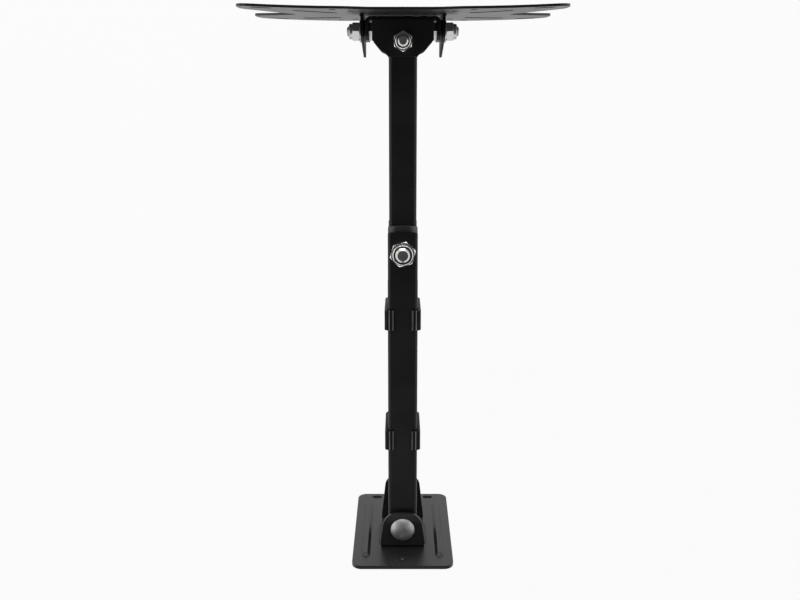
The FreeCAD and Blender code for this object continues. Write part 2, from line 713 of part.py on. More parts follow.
# Screen plate: dished sheet with four arms, notched at the sides and at the waist
vesa_plate = body_named("vesa_plate")
bow = sketch_on(vesa_plate, "XY_Plane")
wide = f"({VESA_HALF} + 2)"
near_back = f"-{VESA_BACK}"
far_back = f"-({VESA_BACK} + vesa_dish)"
near_front = f"({near_back} - vesa_thick)"
far_front = f"({far_back} - vesa_thick)"
bow_run = f"({wide} - {VESA_FLAT})"
bow_radius = f"({bow_run}^2 + vesa_dish^2)/(2*vesa_dish)"
back_centre = f"{near_back} - {bow_radius}"
front_centre = f"{near_front} - {bow_radius}"
polygon(bow,
        (f"-{wide}", far_back),
        Curve(x=f"-{VESA_FLAT}", at=(f"-{VESA_FLAT}", back_centre), left=False),
        (f"-{VESA_FLAT}", near_back), (VESA_FLAT, near_back),
        Curve(x=VESA_FLAT, at=(VESA_FLAT, back_centre), left=False),
        (wide, far_back), (wide, far_front),
        Curve(x=VESA_FLAT, at=(VESA_FLAT, front_centre), left=True),
        (VESA_FLAT, near_front), (f"-{VESA_FLAT}", near_front),
        Curve(x=f"-{VESA_FLAT}", at=(f"-{VESA_FLAT}", front_centre), left=True),
        (f"-{wide}", far_front))
pad(vesa_plate, bow, f"2*{VESA_TOP} + 4", both=True)
plan = sketch_on(vesa_plate, "XZ_Plane")
waist = f"({VESA_TOP} - waist_drop)"
mouth = "notch_mouth/2"
polygon(plan,
        (VESA_HALF, f"-{mouth}", 8), (NOTCH_APEX, "0", 6), (VESA_HALF, mouth, 8),
        (VESA_HALF, VESA_TOP, "vesa_tip"), (WAIST_OUT, VESA_TOP, 10), (WAIST_IN, waist, 10),
        (f"-{WAIST_IN}", waist, 10), (f"-{WAIST_OUT}", VESA_TOP, 10), (f"-{VESA_HALF}", VESA_TOP, "vesa_tip"),
        (f"-{VESA_HALF}", mouth, 8), (f"-{NOTCH_APEX}", "0", 6), (f"-{VESA_HALF}", f"-{mouth}", 8),
        (f"-{VESA_HALF}", f"-{VESA_TOP}", "vesa_tip"), (f"-{WAIST_OUT}", f"-{VESA_TOP}", 10),
        (f"-{WAIST_IN}", f"-{waist}", 10), (WAIST_IN, f"-{waist}", 10),
        (WAIST_OUT, f"-{VESA_TOP}", 10), (VESA_HALF, f"-{VESA_TOP}", "vesa_tip"))
box_line(plan, f"-({VESA_HALF} + 8)", f"{VESA_HALF} + 8", f"-({VESA_TOP} + 8)", f"{VESA_TOP} + 8")
cut(vesa_plate, plan)
screen_holes = sketch_on(vesa_plate, "XZ_Plane")
for across in ("-", ""):
    for up in ("-", ""):
        circle(screen_holes, f"{across}small_square/2", f"{up}small_square/2", "screw_dia/2")
        circle(screen_holes, f"{across}large_square/2", f"{up}large_square/2", "screw_dia/2")
        slot(screen_holes,
             f"{across}(wide_pattern - wide_slot_length + screw_dia)/2", f"{up}large_square/2",
             f"{across}(wide_pattern + wide_slot_length - screw_dia)/2", f"{up}large_square/2", "screw_dia/2")
        slot(screen_holes, f"{across}({NOTCH_APEX} - 27)", f"{up}(notch_mouth/2 - 9)",
             f"{across}({NOTCH_APEX} - 1)", f"{up}(notch_mouth/2 + 3)", "arm_slot_width/2")
cut(vesa_plate, screen_holes)


def lug(label, sign):
    """Make one upright lug that carries the screen plate on a tilt bolt."""
    body = body_named(label)
    side = sketch_on(body, "YZ_Plane", f"{LUG_IN}" if sign > 0 else f"-{LUG_OUT}")
    foot = f"-{VESA_BACK}"
    polygon(side,
            (foot, "-lug_below"), (foot, "lug_above"), (f"{foot} + lug_top_depth", "lug_above", 7),
            (f"{foot} + lug_tail_depth", "-(lug_below - 3)", 1.2),
            (f"{foot} + lug_tail_depth - 3", "-lug_below", 1.2))
    circle(side, f"-{TILT}", "0", "small_dia/2 + shaft_gap")
    pad(body, side, "lug_thick")
    return body


lug_left = lug("tilt_lug_left", -1)
lug_right = lug("tilt_lug_right", 1)


def cable_clip(label, at):
    """Make one clip that hooks over the arm with dipped lips and leaves a channel below it."""
    body = body_named(label)
    section = sketch_on(body, "XZ_Plane", f"{PIVOT} + {at} - clip_length/2")
    inside = "(arm_width/2 + clip_slack)"
    outside = f"({inside} + clip_wall)"
    over = "(arm_height/2 + clip_slack)"
    lip_top = f"({over} + clip_lip_thick)"
    lip_end = f"({outside} - clip_lip)"
    channel = "clip_channel_width/2"
    floor = f"-({over} + clip_channel)"
    under = f"-({over} + clip_channel + clip_wall - 0.6)"
    foot = f"({channel} + clip_wall)"
    heel = f"-({over} + clip_heel)"
    dip = f"({outside} - clip_dip_at)"
    dip_top = f"({lip_top} - clip_dip)"
    polygon(section,
            (lip_end, lip_top, "clip_lip_round"), (lip_end, over), (inside, over), (inside, f"-{over}"),
            (channel, f"-{over}"), (channel, floor, 2), (f"-{channel}", floor, 2), (f"-{channel}", f"-{over}"),
            (f"-{inside}", f"-{over}"), (f"-{inside}", over), (f"-{lip_end}", over),
            (f"-{lip_end}", lip_top, "clip_lip_round"), (f"-{dip}", dip_top, 1.5),
            (f"-{outside}", lip_top, "clip_corner"), (f"-{outside}", heel, 2), (f"-{foot}", under, 3),
            (foot, under, 3), (outside, heel, 2), (outside, lip_top, "clip_corner"), (dip, dip_top, 1.5))
    pad(body, section, "clip_length")
    return body


clip_outer = cable_clip("cable_clip_outer", "clip_outer_at")
clip_inner = cable_clip("cable_clip_inner", "clip_inner_at")

doc.recompute()

NODES = [
    wall_plate, wall_clevis, wall_bolt, wall_nut, wall_insert, wall_washers,
    wall_arm, elbow_liners, elbow_bolt, elbow_nut, elbow_insert, clip_outer, clip_inner,
    forearm,
    head, head_bolt, head_nut, head_insert, head_washers, *tilt_groups,
    vesa_plate, lug_left, lug_right,
]

for item in doc.Objects:
    if "Invalid" in item.State or "Error" in item.State:
        raise RuntimeError(f"{item.Label} did not rebuild: {item.State}")

for node in NODES:
    shape = node.Shape
    if shape.isNull() or not shape.isValid() or not shape.Solids:
        raise RuntimeError(f"{node.Label} has no sound shape")
    shape.exportStep(f"parts/{node.Label}.step")
    box = shape.BoundBox
    print(f"{node.Label}: {len(shape.Solids)} solid, {shape.Volume:.0f} mm3, "
          f"X {box.XMin:.1f} {box.XMax:.1f}, Y {box.YMin:.1f} {box.YMax:.1f}, Z {box.ZMin:.1f} {box.ZMax:.1f}")
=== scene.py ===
"""Looks of a swivel screen mount for a wall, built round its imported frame."""

import logging
import math
from collections.abc import Mapping, Sequence
from dataclasses import dataclass, field
from enum import Enum

import bmesh
import bpy
from mathutils import Matrix, Vector


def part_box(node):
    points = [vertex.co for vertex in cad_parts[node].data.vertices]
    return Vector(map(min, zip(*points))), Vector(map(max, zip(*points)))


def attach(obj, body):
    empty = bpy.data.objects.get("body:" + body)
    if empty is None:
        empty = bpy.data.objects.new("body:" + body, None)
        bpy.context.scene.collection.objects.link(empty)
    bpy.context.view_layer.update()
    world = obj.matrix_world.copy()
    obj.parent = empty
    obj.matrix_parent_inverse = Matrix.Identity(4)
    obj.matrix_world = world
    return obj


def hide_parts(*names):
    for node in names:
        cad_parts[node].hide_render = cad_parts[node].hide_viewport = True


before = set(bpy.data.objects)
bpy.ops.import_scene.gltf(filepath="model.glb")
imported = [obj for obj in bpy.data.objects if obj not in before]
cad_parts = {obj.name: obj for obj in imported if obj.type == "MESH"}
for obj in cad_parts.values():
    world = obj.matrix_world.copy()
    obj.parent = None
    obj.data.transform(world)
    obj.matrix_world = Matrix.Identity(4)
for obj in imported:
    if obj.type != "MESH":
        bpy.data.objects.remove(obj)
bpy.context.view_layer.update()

LOG = logging.getLogger("screen_mount")
MM = 0.001
HALF = 0.5
WHITE = (1, 1, 1, 1)
UP = (0, 0, 1)
DOWN = (0, 0, -1)
SIDEWAYS = ((1, 0, 0), (-1, 0, 0))

# How the frame's triangles become whole faces with rounded edges
MERGE_DISTANCE = 0.002 * MM
FLAT_ANGLE = math.radians(0.4)
EDGE_ANGLE = math.radians(38)
EDGE_STEPS = 2
EDGE_MATERIAL = 1

# The colour sockets of a Mix node, by number because their names repeat
MIX_SHARE, MIX_FIRST, MIX_SECOND, MIX_RESULT = 0, 6, 7, 2

# A thread's folds above this angle stay sharp
SHARP_ANGLE = math.radians(28)

# A face looks up where the upward share of its normal is above this
UPWARD = 0.8

Colour = tuple[float, float, float, float]
Triple = tuple[float, float, float]

# Whatever a node's property or input can be set to
Setting = object


class Body(Enum):
    """The moving bodies of the mount, from the wall outwards."""

    WALL = "wall"
    LONG_ARM = "long_arm"
    SHORT_ARM = "short_arm"
    HEAD = "head"
    SCREEN_PLATE = "screen_plate"


class Slot(Enum):
    """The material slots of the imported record."""

    COAT = "black_powder_coat"
    ZINC = "zinc_plate"
    CLIP = "clip_plastic"
    NYLON = "nylon"


class InputKind(Enum):
    """The kinds of named inputs that a node shape can have."""

    NUMBER = "NodeSocketFloat"
    POINT = "NodeSocketVector"
    FINISH = "NodeSocketMaterial"


class Metric(Enum):
    """Coarse metric threads, as their crest radius and pitch."""

    M8 = (4 * MM, 1.25 * MM)
    M12 = (6 * MM, 1.75 * MM)


class Socket:
    """An output of a node that takes part in sums as a number does."""

    def __init__(self, graph: "Graph", output: bpy.types.NodeSocket) -> None:
        """Keep the output and the graph that it belongs to."""
        self.graph = graph
        self.output = output

    def __add__(self, other: "Number") -> "Socket":
        """Add a socket or a number."""
        return self.graph.math("ADD", self, other)

    def __radd__(self, other: "Number") -> "Socket":
        """Be added to a number."""
        return self.graph.math("ADD", other, self)

    def __sub__(self, other: "Number") -> "Socket":
        """Take away a socket or a number."""
        return self.graph.math("SUBTRACT", self, other)

    def __rsub__(self, other: "Number") -> "Socket":
        """Be taken away from a number."""
        return self.graph.math("SUBTRACT", other, self)

    def __mul__(self, other: "Number") -> "Socket":
        """Multiply by a socket or a number."""
        return self.graph.math("MULTIPLY", self, other)

    def __rmul__(self, other: "Number") -> "Socket":
        """Be multiplied by a number."""
        return self.graph.math("MULTIPLY", other, self)

    def __truediv__(self, other: "Number") -> "Socket":
        """Divide by a socket or a number."""
        return self.graph.math("DIVIDE", self, other)

    def __gt__(self, other: "Number") -> "Socket":
        """Give 1 where this is the greater, and 0 elsewhere."""
        return self.graph.math("GREATER_THAN", self, other)

    def __lt__(self, other: "Number") -> "Socket":
        """Give 1 where this is the smaller, and 0 elsewhere."""
        return self.graph.math("LESS_THAN", self, other)

    def __abs__(self) -> "Socket":
        """Give the size without its sign."""
        return self.graph.math("ABSOLUTE", self)


Number = Socket | float


class Made:
    """A node in a graph, whose outputs are read by name or number."""

    def __init__(self, graph: "Graph", node: bpy.types.Node) -> None:
        """Keep the node and its graph."""
        self.graph = graph
        self.node = node

    def __getitem__(self, output: str | int) -> Socket:
        """Give one output as a socket."""
        return Socket(self.graph, self.node.outputs[output])


class Graph:
    """A tree of shader or geometry nodes, with one way to add a node."""

    def __init__(self, tree: bpy.types.NodeTree) -> None:
        """Take a tree and empty it."""
        self.tree = tree
        self.tree.nodes.clear()

    def node(
        self,
        kind: str,
        settings: Mapping[str, Setting] | None = None,
        sockets: Mapping[str | int, Setting] | None = None,
    ) -> Made:
        """Add a node.

        Args:
            kind: The node's type.
            settings: The node's own properties, which are set first.
            sockets: The values or links of its inputs, by name or number.

        Returns:
            The new node.
        """
        made = self.tree.nodes.new(kind)
        for name, value in (settings or {}).items():
            setattr(made, name, value)
        for name, value in (sockets or {}).items():
            if isinstance(value, Socket):
                self.tree.links.new(value.output, made.inputs[name])
            else:
                made.inputs[name].default_value = value
        return Made(self, made)

    def math(self, operation: str, *values: Number) -> Socket:
        """Add a Math node that works on numbers or sockets."""
        return self.node("ShaderNodeMath", {"operation": operation}, dict(enumerate(values)))["Value"]

    def place(self) -> Socket:
        """Give the point on the piece, in metres, in the piece's own frame."""
        return self.node("ShaderNodeTexCoord")["Object"]

    def noise(self, place: Socket, pitch: float, detail: float = 2.0, stretch: Triple = (1, 1, 1)) -> Socket:
        """Add a noise pattern.

        Args:
            place: The point on the piece.
            pitch: The size of one blotch, in metres.
            detail: How many finer layers are added.
            stretch: How much denser the pattern is along each axis.

        Returns:
            A value around a half.
        """
        scaled = self.node("ShaderNodeMapping", None, {"Vector": place, "Scale": stretch})["Vector"]
        pattern = {"Vector": scaled, "Scale": 1 / pitch, "Detail": detail}
        return self.node("ShaderNodeTexNoise", None, pattern)["Fac"]

    def ranged(self, value: Socket, low: float, high: float, first: float, last: float) -> Socket:
        """Map a value from one range to another, held at both ends.

        Args:
            value: The value to map.
            low: Where the first result is reached.
            high: Where the last result is reached.
            first: The result at low.
            last: The result at high.

        Returns:
            The mapped value.
        """
        spans = {"Value": value, "From Min": low, "From Max": high, "To Min": first, "To Max": last}
        return self.node("ShaderNodeMapRange", {"interpolation_type": "SMOOTHSTEP"}, spans)["Result"]

    def blend(self, first: Socket, second: Socket, share: float) -> Socket:
        """Give a share of the first pattern, with the rest from the second."""
        return share * first + (1 - share) * second

    def varied(self, middle: float, *swings: tuple[Socket, float]) -> Socket:
        """Vary a value by patterns around a half.

        Args:
            middle: The value where every pattern is a half.
            swings: Each pattern, with the range that it adds.

        Returns:
            The varied value.
        """
        value = middle
        for pattern, swing in swings:
            value = value + swing * (pattern - HALF)
        return value

    def mix(self, share: Number, first: Colour | Socket, second: Colour | Socket) -> Socket:
        """Mix two colours, with the given share of the second."""
        sockets = {MIX_SHARE: share, MIX_FIRST: first, MIX_SECOND: second}
        return self.node("ShaderNodeMix", {"data_type": "RGBA"}, sockets)[MIX_RESULT]

    def toned(self, pattern: Socket, spread: float, low: Colour, high: Colour) -> Socket:
        """Mix two colours by a pattern around a half.

        Args:
            pattern: The pattern.
            spread: How far from a half each colour is reached in full.
            low: The colour where the pattern is low.
            high: The colour where it is high.

        Returns:
            The mixed colour.
        """
        return self.mix(self.ranged(pattern, HALF - spread, HALF + spread, 0.0, 1.0), low, high)

    def bump(self, height: Socket, depth: float) -> Socket:
        """Turn a height pattern between 0 and 1 into a normal, for a real depth in metres."""
        relief = {"Height": height, "Distance": depth, "Strength": 1.0}
        return self.node("ShaderNodeBump", None, relief)["Normal"]


class Finish:
    """A procedural finish that knows how to make its material."""

    name: str

    def shade(self, graph: Graph) -> dict[str, Setting]:
        """Give the inputs of the surface shader."""
        raise NotImplementedError

    def material(self) -> bpy.types.Material:
        """Make the material.

        Returns:
            A material with the finish's own nodes.
        """
        made = bpy.data.materials.new(self.name)
        made.use_nodes = True
        graph = Graph(made.node_tree)
        surface = graph.node("ShaderNodeBsdfPrincipled", None, self.shade(graph))
        graph.node("ShaderNodeOutputMaterial", None, {"Surface": surface["BSDF"]})
        return made


@dataclass(frozen=True)
class PowderCoat(Finish):
    """Satin black powder coat on steel, with a fine orange peel.

    Attributes:
        name: The material's name.
        dark: The colour of its darker clouds.
        pale: The colour of its paler clouds.
        roughness: Its middle roughness.
        gloss: How strongly it mirrors.
        tone_spread: How far from a half the pattern reaches its two colours.
        cloud_pitch: The size of a cloud.
        cloud_share: The clouds' share of the colour, with the rest from the grain.
        cloud_swing: How much the clouds change the roughness.
        grain_pitch: The size of a grain.
        grain_swing: How much the grain changes the roughness.
        peel_pitch: The size of a dimple of the orange peel.
        peel_share: The dimples' share of the relief, with the rest from the grain.
        peel_depth: The depth of the relief.
    """

    name: str
    dark: Colour
    pale: Colour
    roughness: float
    gloss: float
    tone_spread: float = 0.2
    cloud_pitch: float = 28 * MM
    cloud_share: float = 0.6
    cloud_swing: float = 0.12
    grain_pitch: float = 0.35 * MM
    grain_swing: float = 0.1
    peel_pitch: float = 1.4 * MM
    peel_share: float = 0.75
    peel_depth: float = 0.02 * MM

    def shade(self, graph: Graph) -> dict[str, Setting]:
        """Give the inputs of the surface shader.

        Args:
            graph: The material's graph.

        Returns:
            The shader's values and links.
        """
        place = graph.place()
        cloud = graph.noise(place, self.cloud_pitch, detail=4)
        peel = graph.noise(place, self.peel_pitch)
        grain = graph.noise(place, self.grain_pitch, detail=1)
        tone = graph.blend(cloud, grain, self.cloud_share)
        relief = graph.blend(peel, grain, self.peel_share)
        return {
            "Base Color": graph.toned(tone, self.tone_spread, self.dark, self.pale),
            "Roughness": graph.varied(self.roughness, (cloud, self.cloud_swing), (grain, self.grain_swing)),
            "Specular IOR Level": self.gloss,
            "Normal": graph.bump(relief, self.peel_depth),
        }


@dataclass(frozen=True)
class ZincPlate(Finish):
    """Bright zinc plate, lightly brushed and clouded.

    Attributes:
        name: The material's name.
        cool: The colour of its cooler clouds.
        warm: The colour of its warmer clouds.
        roughness: Its middle roughness.
        tone_spread: How far from a half the clouds reach their two colours.
        cloud_pitch: The size of a cloud.
        cloud_swing: How much the clouds change the roughness.
        scratch_pitch: The width of a brush mark.
        scratch_stretch: How much denser the brush marks are along each axis.
        scratch_swing: How much the brush marks change the roughness.
        scratch_share: The brush marks' share of the relief, with the rest from pits.
        scratch_depth: The depth of the relief.
        pit_pitch: The size of a pit.
    """

    name: str
    cool: Colour
    warm: Colour
    roughness: float
    tone_spread: float = 0.15
    cloud_pitch: float = 5 * MM
    cloud_swing: float = 0.16
    scratch_pitch: float = 0.6 * MM
    scratch_stretch: Triple = (1.0, 0.12, 1.0)
    scratch_swing: float = 0.12
    scratch_share: float = 0.8
    scratch_depth: float = 0.002 * MM
    pit_pitch: float = 0.36 * MM

    def shade(self, graph: Graph) -> dict[str, Setting]:
        """Give the inputs of the surface shader.

        Args:
            graph: The material's graph.

        Returns:
            The shader's values and links.
        """
        place = graph.place()
        cloud = graph.noise(place, self.cloud_pitch, detail=4)
        scratch = graph.noise(place, self.scratch_pitch, detail=3, stretch=self.scratch_stretch)
        pit = graph.noise(place, self.pit_pitch, detail=1)
        swings = ((cloud, self.cloud_swing), (scratch, self.scratch_swing))
        relief = graph.blend(scratch, pit, self.scratch_share)
        return {
            "Base Color": graph.toned(cloud, self.tone_spread, self.cool, self.warm),
            "Metallic": 1.0,
            "Roughness": graph.varied(self.roughness, *swings),
            "Normal": graph.bump(relief, self.scratch_depth),
        }


@dataclass(frozen=True)
class MouldedPlastic(Finish):
    """Moulded plastic with the fine spark grain of its mould.

    Attributes:
        name: The material's name.
        dark: The colour of its darker streaks.
        pale: The colour of its paler streaks.
        roughness: Its middle roughness.
        gloss: How strongly it mirrors.
        tone_spread: How far from a half the streaks reach their two colours.
        flow_pitch: The width of a streak where the plastic flowed.
        flow_stretch: How much denser the streaks are along each axis.
        flow_swing: How much the streaks change the roughness.
        spark_pitch: The size of a dimple of the spark grain.
        spark_swing: How much the spark grain changes the roughness.
        spark_depth: The depth of the spark grain.
    """

    name: str
    dark: Colour
    pale: Colour
    roughness: float
    gloss: float = 0.5
    tone_spread: float = 0.2
    flow_pitch: float = 9 * MM
    flow_stretch: Triple = (1.0, 0.4, 1.0)
    flow_swing: float = 0.1
    spark_pitch: float = 0.45 * MM
    spark_swing: float = 0.14
    spark_depth: float = 0.012 * MM

    def shade(self, graph: Graph) -> dict[str, Setting]:
        """Give the inputs of the surface shader.

        Args:
            graph: The material's graph.

        Returns:
            The shader's values and links.
        """
        place = graph.place()
        flow = graph.noise(place, self.flow_pitch, detail=3, stretch=self.flow_stretch)
        spark = graph.noise(place, self.spark_pitch)
        return {
            "Base Color": graph.toned(flow, self.tone_spread, self.dark, self.pale),
            "Roughness": graph.varied(self.roughness, (spark, self.spark_swing), (flow, self.flow_swing)),
            "Specular IOR Level": self.gloss,
            "Normal": graph.bump(spark, self.spark_depth),
        }


@dataclass(frozen=True)
class HighlightBand:
    """A lengthwise band of painted highlight, on each side of a piece.

    Attributes:
        middle: The distance of its middle from the piece's own.
        half_width: The half of its width.
        share: Its share of the painted highlight colour.
    """

    middle: float
    half_width: float
    share: float


@dataclass(frozen=True)
class PaintedHighlightPlastic(MouldedPlastic):
    """Moulded plastic painted paler along lengthwise bands, as painted highlights that are weaker in patches.

    Attributes:
        highlight_bands: The bands of painted highlight.
        highlight_colour: The colour of a band's painted highlight.
        highlight_core_share: The share of a band's width that takes the painted highlight in full.
        highlight_patch_pitch: The size of a patch where the painted highlight is weaker.
        highlight_patch_stretch: How much denser the patches are along each axis.
        highlight_patch_range: Where the patch pattern gives the weakest and the strongest painted highlight.
        highlight_least: The weakest share of a band's painted highlight.
    """

    highlight_bands: tuple[HighlightBand, ...] = (HighlightBand(10.9 * MM, 0.65 * MM, 1.0), HighlightBand(7.5 * MM, 1.5 * MM, 0.5))
    highlight_colour: Colour = (0.17, 0.17, 0.178, 1)
    highlight_core_share: float = 0.3
    highlight_patch_pitch: float = 3 * MM
    highlight_patch_stretch: Triple = (1.0, 0.25, 1.0)
    highlight_patch_range: tuple[float, float] = (0.3, 0.6)
    highlight_least: float = 0.7

    def shade(self, graph: Graph) -> dict[str, Setting]:
        """Give the inputs of the surface shader.

        Args:
            graph: The material's graph.

        Returns:
            The shader's values and links.
        """
        given = super().shade(graph)
        place = graph.place()
        aside = abs(graph.node("ShaderNodeSeparateXYZ", None, {"Vector": place})["X"])
        patches = graph.noise(place, self.highlight_patch_pitch, detail=3, stretch=self.highlight_patch_stretch)
        # The patchy strength of the painted highlight, kept in wear
        wear = graph.ranged(patches, *self.highlight_patch_range, self.highlight_least, 1.0)
        # Each band is painted paler towards its middle: a painted highlight mixed into the base colour
        for band in self.highlight_bands:
            crest = self.highlight_core_share * band.half_width
            pale = graph.ranged(abs(aside - band.middle), crest, band.half_width, band.share, 0.0)
            given["Base Color"] = graph.mix(pale * wear, given["Base Color"], self.highlight_colour)
        return given


@dataclass(frozen=True)
class Dress:
    """What a piece wears.

    Attributes:
        slot: Its slot in the record.
        face: The material of its faces.
        edge: The material of its rounded edges.
        crowned: Whether the faces that look up wear the edge material too.
    """

    slot: Slot
    face: bpy.types.Material
    edge: bpy.types.Material
    crowned: bool = False


@dataclass(frozen=True)
class Wardrobe:
    """The finishes of the whole mount.

    Attributes:
        tube: The arms and the swivel head.
        sheet: The clevis and the painted welds.
        plate: The plates on the wall and on the screen.
        lug: The tilt lugs.
        zinc: The bolts and nuts of the elbow and the head's pivot, and the wall pivot's nut.
        dull_zinc: The wall pivot's bolt.
        tilt_zinc: The fasteners of the tilt joint.
        clip: The cable clips.
        nylon: The washers and the rings in the nuts.
        liner: The pads in the elbow.
    """

    tube: Dress
    sheet: Dress
    plate: Dress
    lug: Dress
    zinc: Dress
    dull_zinc: Dress
    tilt_zinc: Dress
    clip: Dress
    nylon: Dress
    liner: Dress

    @classmethod
    def made(cls) -> "Wardrobe":
        """Make every finish once.

        Returns:
            The finishes, ready to wear.
        """
        tube = PowderCoat(
            "tube_coat", dark=(0.0045, 0.0045, 0.0049, 1), pale=(0.0078, 0.0078, 0.0085, 1),
            roughness=0.42, gloss=0.27,
        )
        # Paler than the faces: partly the thinner coat on an edge, partly a painted highlight along it
        tube_edge = PowderCoat(
            "tube_coat_edge", dark=(0.006, 0.006, 0.0066, 1), pale=(0.011, 0.011, 0.0117, 1),
            roughness=0.4, gloss=0.3,
        )
        sheet = PowderCoat(
            "sheet_coat", dark=(0.007, 0.007, 0.0075, 1), pale=(0.013, 0.013, 0.0138, 1),
            roughness=0.42, gloss=0.62,
        ).material()
        # Darker than the sheet coat: painted shade on the edges of the clevis and the plates
        sheet_edge = PowderCoat(
            "sheet_coat_edge", dark=(0.004, 0.004, 0.0044, 1), pale=(0.009, 0.009, 0.0095, 1),
            roughness=0.4, gloss=0.3,
        ).material()
        # A darker, duller copy of the coat on the lugs: painted shade
        lug = PowderCoat(
            "lug_coat", dark=(0.002, 0.002, 0.0022, 1), pale=(0.004, 0.004, 0.0044, 1),
            roughness=0.5, gloss=0.05,
        )
        zinc = ZincPlate(
            "zinc_plate", cool=(0.76, 0.77, 0.79, 1), warm=(0.82, 0.80, 0.76, 1), roughness=0.24,
        )
        # Paler at the edges: partly edges polished bright, partly a painted highlight along them
        zinc_edge = ZincPlate(
            "zinc_plate_edge", cool=(0.86, 0.87, 0.88, 1), warm=(0.88, 0.87, 0.84, 1), roughness=0.22,
        )
        # Darker copies of the zinc: painted shade that dims their mirror of the white floor; both are also
        # rougher
        dull = ZincPlate(
            "dull_zinc", cool=(0.42, 0.42, 0.43, 1), warm=(0.5, 0.49, 0.47, 1), roughness=0.5,
        )
        tilt = ZincPlate(
            "tilt_zinc", cool=(0.46, 0.46, 0.47, 1), warm=(0.54, 0.53, 0.51, 1), roughness=0.42,
        )
        # Paler than the dull and tilt zinc: partly edges polished bright, partly a painted highlight along
        # them
        dull_edge = ZincPlate(
            "dull_zinc_edge", cool=(0.5, 0.5, 0.5, 1), warm=(0.56, 0.55, 0.53, 1), roughness=0.3,
        ).material()
        clip = MouldedPlastic(
            "clip_plastic", dark=(0.002, 0.002, 0.0023, 1), pale=(0.004, 0.004, 0.0045, 1),
            roughness=0.4, gloss=0.06,
        )
        # The clips' edges and faces that look up: paler bands of painted highlight
        clip_lip = PaintedHighlightPlastic(
            "clip_plastic_lip", dark=(0.003, 0.003, 0.0034, 1), pale=(0.006, 0.006, 0.0066, 1),
            roughness=0.36, gloss=0.16,
        )
        nylon = MouldedPlastic(
            "nylon", dark=(0.024, 0.0235, 0.0225, 1), pale=(0.037, 0.036, 0.0345, 1), roughness=0.45,
        )
        # The liners are painted paler away from their middle, towards both ends: a painted highlight
        liner = PaintedHighlightPlastic(
            "nylon_liner", dark=(0.019, 0.0186, 0.0178, 1), pale=(0.03, 0.0292, 0.028, 1), roughness=0.45,
            highlight_bands=(HighlightBand(12.5 * MM, 7.5 * MM, 1.0),), highlight_colour=(0.15, 0.147, 0.141, 1),
        )
        return cls(
            tube=Dress(Slot.COAT, tube.material(), tube_edge.material()),
            sheet=Dress(Slot.COAT, sheet, sheet_edge),
            # The plates' faces that look up take the darker edge coat: painted shade
            plate=Dress(Slot.COAT, sheet, sheet_edge, crowned=True),
            lug=Dress(Slot.COAT, lug.material(), lug.material()),
            zinc=Dress(Slot.ZINC, zinc.material(), zinc_edge.material()),
            dull_zinc=Dress(Slot.ZINC, dull.material(), dull_edge),
            tilt_zinc=Dress(Slot.ZINC, tilt.material(), dull_edge),
            # The clips' faces that look up take the painted highlight bands
            clip=Dress(Slot.CLIP, clip.material(), clip_lip.material(), crowned=True),
            nylon=Dress(Slot.NYLON, nylon.material(), nylon.material()),
            liner=Dress(Slot.NYLON, liner.material(), liner.material()),
        )


class NodeShape:
    """A shape made by geometry nodes and turned into a plain mesh.

    Attributes:
        label: The tree's name.
        inputs: The kind of each named input.
    """

    label: str
    inputs: Mapping[str, InputKind]

    def __init__(self) -> None:
        """Build the tree with its named inputs, ending in plain dressed geometry."""
        self.tree = bpy.data.node_groups.new(self.label, "GeometryNodeTree")
        self.keys: dict[str, str] = {}
        for name, kind in {**self.inputs, "Finish": InputKind.FINISH}.items():
            socket = self.tree.interface.new_socket(name, in_out="INPUT", socket_type=kind.value)
            self.keys[name] = socket.identifier
        self.tree.interface.new_socket("Shape", in_out="OUTPUT", socket_type="NodeSocketGeometry")
        graph = Graph(self.tree)
        given = graph.node("NodeGroupInput")
        shape = self.wire(graph, given)
        smooth = graph.node("GeometryNodeSetShadeSmooth", None, {"Geometry": shape})["Geometry"]
        plain = graph.node("GeometryNodeRealizeInstances", None, {"Geometry": smooth})["Geometry"]
        dressing = {"Geometry": plain, "Material": given["Finish"]}
        dressed = graph.node("GeometryNodeSetMaterial", None, dressing)["Geometry"]
        graph.node("NodeGroupOutput", None, {"Shape": dressed})

    def wire(self, graph: Graph, given: Made) -> Socket:
        """Build the nodes between the inputs and the shape."""
        raise NotImplementedError

    def mesh(self, finish: bpy.types.Material, **sizes: float | Vector) -> bpy.types.Mesh:
        """Evaluate the tree once.

        Args:
            finish: The material of the shape.
            sizes: A value for each named input, by its name in small letters.

        Returns:
            A plain mesh with that material.
        """
        carrier = bpy.data.objects.new(self.label, bpy.data.meshes.new(self.label))
        bpy.context.scene.collection.objects.link(carrier)
        modifier = carrier.modifiers.new(self.label, "NODES")
        modifier.node_group = self.tree
        modifier[self.keys["Finish"]] = finish
        for name, value in sizes.items():
            modifier[self.keys[name.capitalize()]] = value
        graph = bpy.context.evaluated_depsgraph_get()
        plain = bpy.data.meshes.new_from_object(carrier.evaluated_get(graph), depsgraph=graph)
        carrier.modifiers.clear()
        bpy.data.objects.remove(carrier)
        return plain


